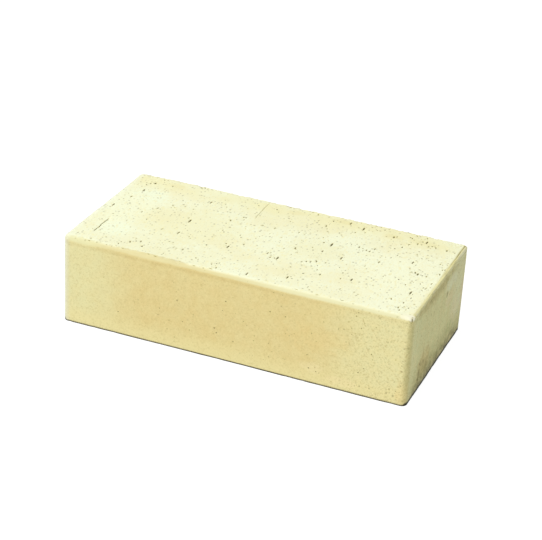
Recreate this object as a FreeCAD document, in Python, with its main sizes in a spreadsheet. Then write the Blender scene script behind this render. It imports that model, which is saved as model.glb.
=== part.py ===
import FreeCAD, Part
import math
import os
import random

import Sketcher

# A solid clay facing brick: an extruded column, cut to thickness by wires, dried and fired.
# Frame: X along the length, Y across the width, Z up, origin at the centre of the lower bed face.

# The upper bed's coarse grains, which this brick shows plainly: x, y and size factor. A factor of 0.75
# makes a grain's side tangent to the round end of its furrow, and then the body's mesh does not close.
UPPER_GROG = (
    (-118, 2, 0.8), (-110, 34, 0.85), (-59.5, 4, 1.1), (-59, 38.5, 0.85), (-58.5, -17, 0.8),
    (-20, -20.5, 0.8), (7, -51, 0.8), (16, -20, 0.9), (32.5, -43, 0.8), (41, 17, 1.15), (41, 54.5, 0.8),
    (52, 51, 1.1), (54, 0.5, 0.9), (71, -26, 0.85), (98, 51.5, 0.9), (99, 17.5, 0.8), (107.5, 2.5, 0.8),
    (111.5, -25, 0.95),
)

SCATTER_SEED = 250
SCATTER_SIZES = (0.7, 1.3)  # least and greatest size factor of a scattered grain
TOUCH = 1e-6

# A grain's wedge in shares of its size across: X and Z at the brick's face, X2 and Z2 inside the clay.
WEDGE_SIDES = (
    ("Xmin", -0.5), ("Xmax", 0.5), ("X2min", -0.2), ("X2max", 0.3),
    ("Zmin", -0.4), ("Zmax", 0.4), ("Z2min", -0.2), ("Z2max", 0.15),
)

# The sheet of driving sizes, in millimetres, degrees or pieces.
SHEET = "Dimensions"
DRIVING = {
    "brick_length": 250.0,
    "brick_width": 120.0,
    "brick_height": 65.0,
    "die_corner": 4.0,  # rounded corner of the extrusion die, seen on the vertical arrises
    "cut_arris": 2.0,  # softened edge left around each wire-cut bed face
    "furrow_wide": 0.9,  # drag furrow ploughed by a grain under the cutting wire
    "furrow_run": 3.6,
    "furrow_deep": 0.4,
    "grog_across": 1.5,
    "grog_deep": 1.9,
    "spot_across": 1.0,
    "spot_deep": 1.2,
    "lower_grog_count": 18.0,
    "bed_spot_count": 30.0,
    "stretcher_spot_count": 8.0,
    "header_spot_count": 4.0,
    "edge_margin": 9.0,  # no scattered grain sits nearer to an arris than this
    "seat_clear": 12.0,  # radius kept plain at the middle of every face
    "grain_gap": 7.5,  # least distance from a scattered grain to the others of its face
    "sparse_end_share": 0.45,  # how full of grains a face's sparse end is beside its dense end
}


def make_sheet(doc):
    sheet = doc.addObject("Spreadsheet::Sheet", SHEET)
    for row, (alias, value) in enumerate(DRIVING.items(), start=1):
        sheet.set(f"A{row}", alias)
        sheet.set(f"B{row}", str(value))
        sheet.setAlias(f"B{row}", alias)
    doc.recompute()
    return sheet


def origin_plane(body, role):
    return next(f for f in body.Origin.OriginFeatures if f.Role == role)


def flat_sketch(body, name, lift=None):
    """A sketch on the body's own XY plane, raised by a sheet expression where one is given."""
    sketch = body.newObject("Sketcher::SketchObject", name)
    sketch.AttachmentSupport = [(origin_plane(body, "XY_Plane"), "")]
    sketch.MapMode = "FlatFace"
    if lift:
        sketch.setExpression("AttachmentOffset.Base.z", lift)
    return sketch


# ---- the brick's column ----


def draw_die_mouth(sketch, sheet):
    """The die's mouth: a rectangle centred on the origin with one radius at its four corners."""
    half_x = sheet.brick_length / 2
    half_y = sheet.brick_width / 2
    corner = sheet.die_corner
    flat_x = half_x - corner
    flat_y = half_y - corner
    point = FreeCAD.Vector
    up = point(0, 0, 1)
    lines = [
        (point(-flat_x, -half_y), point(flat_x, -half_y)),
        (point(half_x, -flat_y), point(half_x, flat_y)),
        (point(flat_x, half_y), point(-flat_x, half_y)),
        (point(-half_x, flat_y), point(-half_x, -flat_y)),
    ]
    for start, end in lines:
        sketch.addGeometry(Part.LineSegment(start, end))
    centres = [(flat_x, -flat_y), (flat_x, flat_y), (-flat_x, flat_y), (-flat_x, -flat_y)]
    for turn, (x, y) in enumerate(centres, start=-1):
        circle = Part.Circle(point(x, y), up, corner)
        begin = turn * math.pi / 2
        sketch.addGeometry(Part.ArcOfCircle(circle, begin, begin + math.pi / 2))
    for side in range(4):
        arc = 4 + side
        following = (side + 1) % 4
        sketch.addConstraint(Sketcher.Constraint("Tangent", side, 2, arc, 1))
        sketch.addConstraint(Sketcher.Constraint("Tangent", arc, 2, following, 1))
    for side in (0, 2):
        sketch.addConstraint(Sketcher.Constraint("Horizontal", side))
    for side in (1, 3):
        sketch.addConstraint(Sketcher.Constraint("Vertical", side))
    for arc in (5, 6, 7):
        sketch.addConstraint(Sketcher.Constraint("Equal", 4, arc))
    # opposite corner centres mirror each other about the origin, point 1 of geometry -1
    sketch.addConstraint(Sketcher.Constraint("Symmetric", 4, 3, 6, 3, -1, 1))
    for name, kind, places, size in (
        ("corner", "Radius", (4,), corner),
        ("length", "DistanceX", (3, 1, 1, 1), 2 * half_x),
        ("width", "DistanceY", (0, 1, 2, 1), 2 * half_y),
    ):
        at = sketch.addConstraint(Sketcher.Constraint(kind, *places, size))
        sketch.renameConstraint(at, name)
    sketch.setExpression("Constraints.corner", f"{SHEET}.die_corner")
    sketch.setExpression("Constraints.length", f"{SHEET}.brick_length")
    sketch.setExpression("Constraints.width", f"{SHEET}.brick_width")


def bed_edges(shape, height):
    """Names of the edges that lie wholly in the lower or the upper bed plane."""
    names = []
    for number, edge in enumerate(shape.Edges, start=1):
        box = edge.BoundBox
        for level in (0.0, height):
            if abs(box.ZMin - level) < TOUCH and abs(box.ZMax - level) < TOUCH:
                names.append(f"Edge{number}")
    return names


def draw_furrows(sketch, face, grains, sheet):
    """One slot for each grain, along the wire's path: it starts at -Y of the grain and ends under it."""
    half = FreeCAD.Vector(sheet.furrow_wide / 2, 0, 0)
    up = FreeCAD.Vector(0, 0, 1)
    for grain in grains:
        near = face.place(grain)
        near.z = 0
        far = near - FreeCAD.Vector(0, sheet.furrow_run * grain.size, 0)
        sketch.addGeometry(Part.LineSegment(near + half, far + half))
        sketch.addGeometry(Part.LineSegment(far - half, near - half))
        for centre, begin in ((far, math.pi), (near, 0.0)):
            circle = Part.Circle(centre, up, half.x)
            sketch.addGeometry(Part.ArcOfCircle(circle, begin, begin + math.pi))


def make_column(doc, sheet, faces, grog):
    body = doc.addObject("PartDesign::Body", "BrickColumn")
    mouth = flat_sketch(body, "DieMouth")
    draw_die_mouth(mouth, sheet)
    column = body.newObject("PartDesign::Pad", "CutThickness")
    column.Profile = mouth
    column.setExpression("Length", f"{SHEET}.brick_height")
    doc.recompute()
    arris = body.newObject("PartDesign::Fillet", "CutArris")
    arris.Base = (column, bed_edges(column.Shape, sheet.brick_height))
    arris.setExpression("Radius", f"{SHEET}.cut_arris")
    doc.recompute()
    for bed, lift, inward_is_up in (
        ("upper", f"{SHEET}.brick_height", False),
        ("lower", None, True),
    ):
        name = bed.title() + "Furrows"
        before = body.Shape.Volume
        slots = flat_sketch(body, name + "Sketch", lift)
        draw_furrows(slots, faces[bed], grog[bed], sheet)
        pocket = body.newObject("PartDesign::Pocket", name)
        pocket.Profile = slots
        pocket.Reversed = inward_is_up
        pocket.setExpression("Length", f"{SHEET}.furrow_deep")
        doc.recompute()
        if body.Shape.Volume >= before:
            raise RuntimeError(f"{name} cut nothing")
    return body


# ---- grains ----


class Face:
    """One face of the brick: its middle, its two in-plane directions and the way into the clay."""

    def __init__(self, name, middle, u_way, v_way, span_u, span_v):
        self.name = name
        self.middle = middle
        self.u_way = u_way
        self.v_way = v_way
        self.inward = u_way.cross(v_way) * -1.0
        self.span_u = span_u
        self.span_v = span_v

    def place(self, grain):
        return self.middle + self.u_way * grain.u + self.v_way * grain.v


class Grain:
    """A grain's place in its face, its turn in the face in degrees, and its size factor."""

    def __init__(self, u, v, turn, size):
        self.u = u
        self.v = v
        self.turn = turn
        self.size = size


def brick_faces(sheet):
    length = sheet.brick_length
    width = sheet.brick_width
    height = sheet.brick_height
    x_way = FreeCAD.Vector(1, 0, 0)
    y_way = FreeCAD.Vector(0, 1, 0)
    z_way = FreeCAD.Vector(0, 0, 1)
    mid = height / 2
    point = FreeCAD.Vector
    return {
        "upper": Face("upper", point(0, 0, height), x_way, y_way, length, width),
        "lower": Face("lower", point(0, 0, 0), x_way, y_way * -1.0, length, width),
        "front": Face("front", point(0, -width / 2, mid), x_way, z_way, length, height),
        "back": Face("back", point(0, width / 2, mid), x_way * -1.0, z_way, length, height),
        "right": Face("right", point(length / 2, 0, mid), y_way, z_way, width, height),
        "left": Face("left", point(-length / 2, 0, mid), y_way * -1.0, z_way, width, height),
    }


def scatter(face, count, sheet, draw, taken, gap):
    """Seeded random places, clear of the edges, the face's middle and the places in taken."""
    reach_u = face.span_u / 2 - sheet.edge_margin
    reach_v = face.span_v / 2 - sheet.edge_margin
    grains = []
    while len(grains) < count:
        u = draw.uniform(-reach_u, reach_u)
        v = draw.uniform(-reach_v, reach_v)
        turn = draw.uniform(0, 180)
        size = draw.uniform(*SCATTER_SIZES)
        along = (u + reach_u) / (2 * reach_u)
        chance = sheet.sparse_end_share + (1 - sheet.sparse_end_share) * along
        if draw.random() > chance or math.hypot(u, v) < sheet.seat_clear:
            continue
        if any(math.hypot(u - a, v - b) < gap for a, b in taken):
            continue
        taken.append((u, v))
        grains.append(Grain(u, v, turn, size))
    return grains


def make_grain(doc, name, face, grain, across, deep):
    """An angular grain: a wedge that narrows into the clay, its broad face flush with the brick's."""
    wedge = doc.addObject("Part::Wedge", name)
    size = f"{SHEET}.{across} * {grain.size:.3f}"
    length = f"{SHEET}.{deep} * {grain.size:.3f}"
    for side, share in WEDGE_SIDES:
        wedge.setExpression(side, f"{size} * {share}")
    wedge.Ymin = 0.0
    wedge.setExpression("Ymax", length)
    # the wedge's own Y is turned to point into the clay, then spun about that direction
    spin = FreeCAD.Rotation(face.inward, grain.turn)
    lay = FreeCAD.Rotation(face.u_way, face.inward, face.v_way, "XYZ")
    wedge.Placement = FreeCAD.Placement(face.place(grain), spin * lay)
    return wedge


def group(doc, label, members):
    compound = doc.addObject("Part::Compound", "".join(w.title() for w in label.split("_")))
    compound.Links = members
    compound.Label = label
    return compound


# ---- the document ----


def check(doc, labels):
    for item in doc.Objects:
        bad = [s for s in item.State if s in ("Invalid", "Error")]
        if bad:
            raise RuntimeError(f"{item.Name} is {bad}")
    for label in labels:
        shape = doc.getObjectsByLabel(label)[0].Shape
        if shape.isNull() or not shape.isValid():
            raise RuntimeError(f"{label} has no valid shape")


def build():
    doc = FreeCAD.newDocument("ClayBrick")
    sheet = make_sheet(doc)
    faces = brick_faces(sheet)
    draw = random.Random(SCATTER_SEED)
    counts = {"upper": "bed", "lower": "bed", "front": "stretcher", "back": "stretcher",
              "right": "header", "left": "header"}
    grog = {}
    spots = {}
    for name, face in faces.items():
        taken = []
        if name == "upper":
            grog[name] = [Grain(x, y, draw.uniform(0, 180), size) for x, y, size in UPPER_GROG]
            taken = [(grain.u, grain.v) for grain in grog[name]]
        if name == "lower":
            wide_gap = sheet.grain_gap + sheet.furrow_run
            grog[name] = scatter(face, sheet.lower_grog_count, sheet, draw, taken, wide_gap)
        count = getattr(sheet, counts[name] + "_spot_count")
        spots[name] = scatter(face, count, sheet, draw, taken, sheet.grain_gap)
    column = make_column(doc, sheet, faces, grog)
    grog_solids = [
        make_grain(doc, f"Grog_{name}_{i}", faces[name], grain, "grog_across", "grog_deep")
        for name, grains in grog.items()
        for i, grain in enumerate(grains)
    ]
    spot_solids = [
        make_grain(doc, f"Spot_{name}_{i}", faces[name], grain, "spot_across", "spot_deep")
        for name, grains in spots.items()
        for i, grain in enumerate(grains)
    ]
    group(doc, "grog_grains", grog_solids)
    group(doc, "iron_spot_grains", spot_solids)
    sockets = group(doc, "all_sockets", grog_solids + spot_solids)
    brick = doc.addObject("Part::Cut", "BrickBody")
    brick.Base = column
    brick.Tool = sockets
    brick.Label = "brick_body"
    doc.recompute()
    labels = ["brick_body", "grog_grains", "iron_spot_grains"]
    check(doc, labels)
    os.makedirs("parts", exist_ok=True)
    for label in labels:
        shape = doc.getObjectsByLabel(label)[0].Shape
        shape.exportStep(f"parts/{label}.step")
        print(label, len(shape.Solids), "solids", round(shape.Volume, 1), "mm3")


build()
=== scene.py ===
import math
import random
from dataclasses import dataclass

import bmesh
import bpy
import numpy as np
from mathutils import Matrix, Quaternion, Vector, noise
from mathutils.geometry import delaunay_2d_cdt


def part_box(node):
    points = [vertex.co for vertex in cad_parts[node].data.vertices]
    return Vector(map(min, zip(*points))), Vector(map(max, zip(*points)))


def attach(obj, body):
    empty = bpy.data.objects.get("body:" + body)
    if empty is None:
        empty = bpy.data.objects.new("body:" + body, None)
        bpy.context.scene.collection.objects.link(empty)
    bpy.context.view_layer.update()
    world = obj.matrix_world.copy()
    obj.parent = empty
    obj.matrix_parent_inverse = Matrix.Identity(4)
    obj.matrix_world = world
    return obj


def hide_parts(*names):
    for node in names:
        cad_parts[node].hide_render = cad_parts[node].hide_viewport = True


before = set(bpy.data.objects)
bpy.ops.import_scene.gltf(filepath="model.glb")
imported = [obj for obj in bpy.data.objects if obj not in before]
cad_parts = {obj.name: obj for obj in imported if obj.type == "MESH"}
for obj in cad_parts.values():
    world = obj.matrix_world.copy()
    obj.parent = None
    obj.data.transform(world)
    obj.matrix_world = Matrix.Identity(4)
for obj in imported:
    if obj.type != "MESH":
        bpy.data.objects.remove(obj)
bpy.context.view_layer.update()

# A solid, wire-cut clay facing brick. Lengths below are in millimetres in the row frame unless a name
# says otherwise: X along the brick, -Y the front stretcher face, Z up from the lower bed face.

MM = 0.001
LOW, HIGH = (np.array(corner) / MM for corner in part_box("brick_body"))
HALF_LENGTH = (HIGH[0] - LOW[0]) / 2
HALF_WIDTH = (HIGH[1] - LOW[1]) / 2
HEIGHT = HIGH[2] - LOW[2]


def put(name, data):
    """A new object of the scene that shows the data."""
    made = bpy.data.objects.new(name, data)
    bpy.context.scene.collection.objects.link(made)
    return made


def aim(thing, way, roll=0.0):
    """Turns a camera or a lamp to look along the way, rolled by so many degrees."""
    turned = Quaternion((0, 0, 1), math.radians(roll))
    thing.rotation_mode = "QUATERNION"
    thing.rotation_quaternion = way.to_track_quat("-Z", "Y") @ turned


# ---------------- camera, lights and stage

CAMERA_AZIMUTH = 20.99  # degrees round Z, from the front towards the right header
CAMERA_ELEVATION = 26.93
CAMERA_ROLL = 3.45
CAMERA_DISTANCE = 1221.0
CAMERA_AIM = (-3.9, 19.8, 32.5)
CAMERA_LENS = 115.9
CAMERA_SENSOR = 36.0


def place_camera():
    azimuth = math.radians(CAMERA_AZIMUTH)
    elevation = math.radians(CAMERA_ELEVATION)
    back = Vector((
        math.sin(azimuth) * math.cos(elevation),
        -math.cos(azimuth) * math.cos(elevation),
        math.sin(elevation),
    ))
    camera = put("camera", bpy.data.cameras.new("camera"))
    camera.data.sensor_width = CAMERA_SENSOR
    camera.data.lens = CAMERA_LENS
    camera.data.clip_start = 10 * MM
    camera.location = (Vector(CAMERA_AIM) + back * CAMERA_DISTANCE) * MM
    aim(camera, -back, CAMERA_ROLL)
    bpy.context.scene.camera = camera


KEY_PLACE_M = (-1.12, -1.6, 3.12)
KEY_SIZE_M = 3.04
KEY_POWER_W = 177
KEY_COLOUR = (1.0, 0.99, 0.95)
WALL_TOP = 0.14  # sine of the elevation up to which the studio's wall is as white as its floor
WALL_STRENGTH = 1.07
CEILING_FROM = 0.3  # sine of the elevation from which the room is as dim as its ceiling
CEILING_STRENGTH = 0.3
ROOM_COLOUR = (0.96, 1.0, 1.0, 1.0)


def light_key():
    """A softbox from the upper left, aimed at the brick."""
    light = bpy.data.lights.new("key_softbox", "AREA")
    light.shape = "SQUARE"
    light.size = KEY_SIZE_M
    light.energy = KEY_POWER_W
    light.color = KEY_COLOUR
    lamp = put("key_softbox", light)
    lamp.location = KEY_PLACE_M
    aim(lamp, -Vector(KEY_PLACE_M))


def light_room():
    """A pale room whose wall meets the floor without a line, under a dimmer ceiling."""
    world = bpy.data.worlds.new("studio")
    world.use_nodes = True
    tree = world.node_tree
    way = tree.nodes.new("ShaderNodeTexCoord")
    split = tree.nodes.new("ShaderNodeSeparateXYZ")
    fall = tree.nodes.new("ShaderNodeMapRange")
    fall.interpolation_type = "SMOOTHSTEP"
    limits = (WALL_TOP, CEILING_FROM, WALL_STRENGTH, CEILING_STRENGTH)
    for name, value in zip(("From Min", "From Max", "To Min", "To Max"), limits):
        fall.inputs[name].default_value = value
    sky = tree.nodes["Background"]
    sky.inputs["Color"].default_value = ROOM_COLOUR
    tree.links.new(way.outputs["Generated"], split.inputs[0])
    tree.links.new(split.outputs["Z"], fall.inputs["Value"])
    tree.links.new(fall.outputs["Result"], sky.inputs["Strength"])
    bpy.context.scene.world = world
    bpy.context.scene.view_settings.view_transform = "Standard"


FLOOR_REACH_M = 6.0
PAPER_GREY = 0.12
PAPER_GLOW = 0.95


def lay_floor():
    """White paper that glows, so that it shows next to no shadow."""
    floor_mesh = bpy.data.meshes.new("floor")
    ways = ((-1, -1), (1, -1), (1, 1), (-1, 1))
    corners = [(x * FLOOR_REACH_M, y * FLOOR_REACH_M, 0) for x, y in ways]
    floor_mesh.from_pydata(corners, [], [(0, 1, 2, 3)])
    floor = put("floor", floor_mesh)
    paper = bpy.data.materials.new("white_paper")
    paper.use_nodes = True
    shader = paper.node_tree.nodes["Principled BSDF"]
    shader.inputs["Base Color"].default_value = (PAPER_GREY, PAPER_GREY, PAPER_GREY, 1)
    shader.inputs["Roughness"].default_value = 0.9
    shader.inputs["Emission Color"].default_value = (1, 1, 1, 1)
    shader.inputs["Emission Strength"].default_value = PAPER_GLOW
    floor_mesh.materials.append(paper)


# ---------------- the brick's form

DIE_CORNER = 4.0  # radius of the vertical arrises, left by the extrusion die
FRONT_ARRIS = 3.3  # mean radii of the upper arrises
BACK_ARRIS = 1.2
RIGHT_ARRIS = 1.35
LEFT_ARRIS = 1.7
LOWER_ARRIS = 0.75
WORN_END = -HALF_LENGTH + 11  # where along the front arris handling has worn it most
EDGE_BLEND = 8.0  # how fast one edge's arris radius gives way to the next one's at a corner


def wave(seed, scale, *coordinates):
    """Smooth noise in about -1 to 1 for arrays of coordinates, with features about `scale` wide."""
    columns = [np.asarray(c, float) / scale for c in coordinates]
    while len(columns) < 3:
        columns.append(np.zeros_like(columns[0]))
    offset = 17.31 * seed
    rows = np.stack(columns, axis=1) + offset
    return np.array([noise.noise(Vector(row)) for row in rows]) * 1.6


def bump(offset, width):
    """1 where the offset is 0, falling smoothly to 0 about two widths away."""
    return np.exp(-((offset / width) ** 2))


def fade(value, start, end):
    """0 before start, 1 after end, smooth between."""
    share = np.clip((value - start) / (end - start), 0, 1)
    return share * share * (3 - 2 * share)


def arris_radius(p):
    """The arris radius met by each point: rolled over at the front, crisp and ragged at the back."""
    x, y, z = p.T
    upper = {
        "front": FRONT_ARRIS + 0.45 * wave(1, 22, x) + 0.3 * wave(2, 6, x) + 1.4 * bump(x - WORN_END, 13),
        "back": BACK_ARRIS + 0.4 * wave(3, 7, x) + 0.25 * wave(4, 2.5, x),
        "right": RIGHT_ARRIS + 0.25 * wave(5, 12, y),
        "left": LEFT_ARRIS + 0.4 * wave(6, 9, y),
    }
    lower = LOWER_ARRIS + 0.2 * wave(7, 9, x, y)
    nearness = {
        "front": np.exp(-(y + HALF_WIDTH) / EDGE_BLEND),
        "back": np.exp(-(HALF_WIDTH - y) / EDGE_BLEND),
        "right": np.exp(-(HALF_LENGTH - x) / EDGE_BLEND),
        "left": np.exp(-(x + HALF_LENGTH) / EDGE_BLEND),
    }
    total = sum(nearness.values())
    blended = sum(nearness[side] * upper[side] for side in upper) / total
    return np.where(z > HEIGHT / 2, blended, lower)


def round_over(p):
    """Carries points of the sharp box onto the die's rounded plan and the rounded cut arrises.

    Returns the new points and their outward normals."""
    radius = arris_radius(p)
    half = np.array([HALF_LENGTH, HALF_WIDTH])
    p = p.copy()
    for _ in range(5):
        way = np.where(p[:, :2] < 0, -1.0, 1.0)
        over = np.abs(p[:, :2]) - (half - DIE_CORNER)
        out = np.maximum(over, 0)
        reach = np.hypot(out[:, 0], out[:, 1])
        plan = reach + np.minimum(over.max(axis=1), 0) - DIE_CORNER
        first = (over[:, 0] >= over[:, 1])[:, None]
        nearest_side = np.where(first, [1.0, 0.0], [0.0, 1.0])
        curved = out / np.maximum(reach, 1e-9)[:, None]
        plan_way = np.where(reach[:, None] > 0, curved, nearest_side) * way
        rise = np.abs(p[:, 2] - HEIGHT / 2) - HEIGHT / 2
        rise_way = np.where(p[:, 2] < HEIGHT / 2, -1.0, 1.0)
        a = plan + radius
        b = rise + radius
        a_out = np.maximum(a, 0)
        b_out = np.maximum(b, 0)
        corner = np.hypot(a_out, b_out)
        distance = corner + np.minimum(np.maximum(a, b), 0) - radius
        level = np.maximum(corner, 1e-9)
        share_a = np.where(corner > 0, a_out / level, a >= b)
        share_b = np.where(corner > 0, b_out / level, a < b)
        normal = np.column_stack([plan_way * share_a[:, None], rise_way * share_b])
        p -= normal * distance[:, None]
    return p, normal


def relief(p, normal):
    """How far each point stands proud of the rounded box: kiln warp, extrusion ribs and cut edges."""
    x, y, z = p.T
    bed = np.abs(normal[:, 2])
    side = 1 - bed
    warp = 0.16 * wave(11, 70, x, y, z) + 0.05 * wave(12, 16, x, y, z)
    drag = 0.05 * wave(13, 3.0, x, y / 6, z) * bed
    ribs = 0.04 * wave(14, 4.5, x, y, z / 12) * side
    below_cut = HEIGHT - z
    front = fade(-normal[:, 1], 0.3, 0.9)
    roll = (0.11 + 0.05 * wave(15, 16, x)) * bump(below_cut - 3.4, 1.4) * front
    tuck = -(0.12 + 0.06 * wave(16, 24, x)) * bump(below_cut - 5.8, 1.5) * front
    return warp + drag + ribs + roll + tuck + header_lip(p, normal)


def lip_groove(p, normal):
    """The share, 0 to 1, of the groove that the wire left inside the right header's upper edge."""
    x, y, _ = p.T
    on_bed = fade(normal[:, 2], 0.45, 0.85)
    along = 0.3 + (0.25 * fade(y, -30, 15) + 0.4 * fade(y, 30, 45)) * (0.8 + 0.3 * wave(22, 8, y))
    groove_at = 2.0 + 0.3 * wave(21, 14, y)
    return bump(HALF_LENGTH - x - groove_at, 0.4) * on_bed * along


def header_lip(p, normal):
    """The burr along the right header's upper edge: rounded bead, hollow below it, groove inside it."""
    x, y, z = p.T
    on_bed = fade(normal[:, 2], 0.5, 0.95)
    on_header = fade(normal[:, 0], 0.5, 0.95)
    bead_at = 0.95 + 0.3 * wave(21, 14, y)
    bead = (0.08 + 0.16 * fade(y, -30, 15)) * bump(HALF_LENGTH - x - bead_at, 0.55) * on_bed
    belly = fade(y, -52, -15) * (1 - fade(y, 25, 55))
    hollow = -(0.15 + 0.35 * belly) * bump(HEIGHT - z - 4.2, 2.3) * on_header
    return bead + hollow - 0.5 * lip_groove(p, normal)


# ---------------- marks in the faces

PROFILE = (  # shares of a mark's outline, depth and darkness; the negative depth is its raised rim
    (0.0, 1.0, 1.0),
    (0.42, 0.97, 0.97),
    (0.7, 0.78, 0.78),
    (0.87, 0.38, 0.38),
    (0.98, 0.06, 0.06),
    (1.12, -0.07, 0.22),
    (1.36, 0.0, 0.0),
)
WIRE_WAY = math.pi / 2  # the way that the cutting wire went across a bed, as a mark's turn
SEEDS = 10000
RING_REACH = 1.55  # a mark's own points lie within this share of its outline, ragged as it is
RAGGED = 0.24
SPOKE_GAP = 0.34
SPOKES = (8, 22)  # fewest and most points in a ring


@dataclass
class Mark:
    """A pit, furrow or socket. `turn` is the way of its long axis in the face, in radians."""

    u: float
    v: float
    long: float
    wide: float
    deep: float
    dark: float
    turn: float = WIRE_WAY
    tail: float = 0.0  # how much the mark narrows and rises along its way
    seed: int = 0

    def covers(self, uv):
        """Which points of the face the mark's own points replace."""
        d = uv - (self.u, self.v)
        c, s = math.cos(self.turn), math.sin(self.turn)
        along = (d[:, 0] * c + d[:, 1] * s) / self.long
        across = (-d[:, 0] * s + d[:, 1] * c) / self.wide
        return np.hypot(along, across) < RING_REACH + 0.2 / self.wide

    def spine(self):
        """Two ends of the long axis and a radius: the capsule that holds all the mark's points."""
        half = RING_REACH * max(self.long - self.wide, 0.0)
        du, dv = half * math.cos(self.turn), half * math.sin(self.turn)
        return (self.u - du, self.v - dv), (self.u + du, self.v + dv), RING_REACH * self.wide

    def points(self):
        """Rings of points: face coordinates, depth below the face, and how dark it is painted there, for
        shade in the pit with some dirt.
        """
        girth = 2 * math.pi * math.sqrt(self.long * self.wide)
        spokes = int(np.clip(girth / SPOKE_GAP, *SPOKES))
        c, s = math.cos(self.turn), math.sin(self.turn)
        uv, dent, dark = [], [], []
        for share, deep, shade in PROFILE:
            for k in range(spokes if share else 1):
                angle = 2 * math.pi * (k + 0.5 * (share > 0.8)) / spokes
                way = Vector((math.cos(angle), math.sin(angle), self.seed * 0.77))
                ragged = 1 + RAGGED * noise.noise(way)
                along = math.cos(angle) * share * ragged
                taper = 1 - self.tail * 0.6 * (along + 1) / 2
                across = math.sin(angle) * share * ragged * taper
                uv.append((
                    self.u + along * self.long * c - across * self.wide * s,
                    self.v + along * self.long * s + across * self.wide * c,
                ))
                shallow = 1 - self.tail * 0.7 * (along + 1) / 2
                dent.append(self.deep * deep * shallow)
                dark.append(self.dark * shade)
        return np.array(uv), np.array(dent), np.array(dark)


@dataclass
class Line:
    """A hairline crack or scratch across a face, from one point to another."""

    start: tuple
    end: tuple
    half: float
    deep: float
    dark: float
    seed: int = 0
    jog: float = 0.0

    STEP = 0.5
    SECTION = ((-2.4, 0.0), (-1.2, 0.1), (-0.75, 1.0), (0.0, 1.0), (0.75, 1.0), (1.2, 0.1), (2.4, 0.0))

    def path(self):
        start, end = np.array(self.start), np.array(self.end)
        span = np.linalg.norm(end - start)
        share = np.linspace(0, 1, int(span / self.STEP) + 1)
        across = np.array([-(end - start)[1], (end - start)[0]]) / span
        wander = 0.22 * wave(self.seed, 5, share * span) + 0.1 * wave(self.seed + 1, 1.3, share * span)
        wander = wander + self.jog * fade(share, 0.5, 0.55)
        middle = start + share[:, None] * (end - start) + wander[:, None] * across
        uneven = 0.85 + 0.3 * wave(self.seed + 2, 3, share * span)
        strength = fade(share, 0, 0.1) * (1 - fade(share, 0.9, 1)) * uneven
        return middle, across, strength

    def covers(self, uv):
        middle, _, _ = self.path()
        nearest = np.min([np.hypot(*(uv - point).T) for point in middle], axis=0)
        return nearest < 2.4 * self.half + 0.45

    def spine(self):
        return self.start, self.end, 2.4 * self.half + 0.6

    def points(self):
        middle, across, strength = self.path()
        uv, dent, dark = [], [], []
        for offset, deep in self.SECTION:
            uv.append(middle + across * offset * self.half)
            dent.append(self.deep * deep * strength)
            dark.append(self.dark * deep * strength)
        return np.concatenate(uv), np.concatenate(dent), np.concatenate(dark)


@dataclass
class Face:
    """A face of the sharp box, with its middle, in-plane ways and spans, and the marks in it."""

    middle: np.ndarray
    u_way: np.ndarray
    v_way: np.ndarray
    span_u: float
    span_v: float
    marks: list

    def lift(self, uv):
        return self.middle + uv[:, :1] * self.u_way + uv[:, 1:] * self.v_way

    def flat(self, place):
        return float((place - self.middle) @ self.u_way), float((place - self.middle) @ self.v_way)


def brick_faces():
    x_way, y_way, z_way = np.eye(3)
    length, width = 2 * HALF_LENGTH, 2 * HALF_WIDTH
    up = z_way * HEIGHT
    half_up = up / 2
    return {
        "upper": Face(up, x_way, y_way, length, width, []),
        "lower": Face(up * 0, x_way, -y_way, length, width, []),
        "front": Face(half_up - y_way * HALF_WIDTH, x_way, z_way, length, HEIGHT, []),
        "back": Face(half_up + y_way * HALF_WIDTH, -x_way, z_way, length, HEIGHT, []),
        "right": Face(half_up + x_way * HALF_LENGTH, y_way, z_way, width, HEIGHT, []),
        "left": Face(half_up - x_way * HALF_LENGTH, -y_way, z_way, width, HEIGHT, []),
    }


def distance_to_segment(place, start, end):
    span_u, span_v = end[0] - start[0], end[1] - start[1]
    square = span_u**2 + span_v**2
    share = 0.0
    if square > 0:
        share = ((place[0] - start[0]) * span_u + (place[1] - start[1]) * span_v) / square
    share = min(max(share, 0.0), 1.0)
    return math.dist(place, (start[0] + share * span_u, start[1] + share * span_v))


def too_near(mark, other):
    """Whether two marks' points could mix: their capsules come closer than a tenth of a millimetre."""
    *ends, reach = mark.spine()
    *other_ends, other_reach = other.spine()
    from_mark = [distance_to_segment(place, *other_ends) for place in (*ends, (mark.u, mark.v))]
    from_other = [distance_to_segment(place, *ends) for place in other_ends]
    return min(from_mark + from_other) < reach + other_reach + 0.1


def add_mark(face, mark):
    """Adds the mark to the face if it clears those that are there."""
    if any(too_near(mark, other) for other in face.marks):
        return False
    face.marks.append(mark)
    return True


@dataclass
class Pits:
    """A sort of pit: how many, the ranges of their sizes, and how they lie."""

    count: int
    longs: tuple
    slender: tuple
    deeps: tuple
    darks: tuple
    crowd: float = 0.5  # how empty the -u end of the face stays beside the +u end
    rise: float = 0.35  # how empty the -v side of the face stays beside the +v side
    lean: float = 0.16  # spread of the long axis about the wire's way, in radians
    huddle: float = 0.0  # share of the pits that lie beside another mark
    margin: float = 4.0


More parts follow.
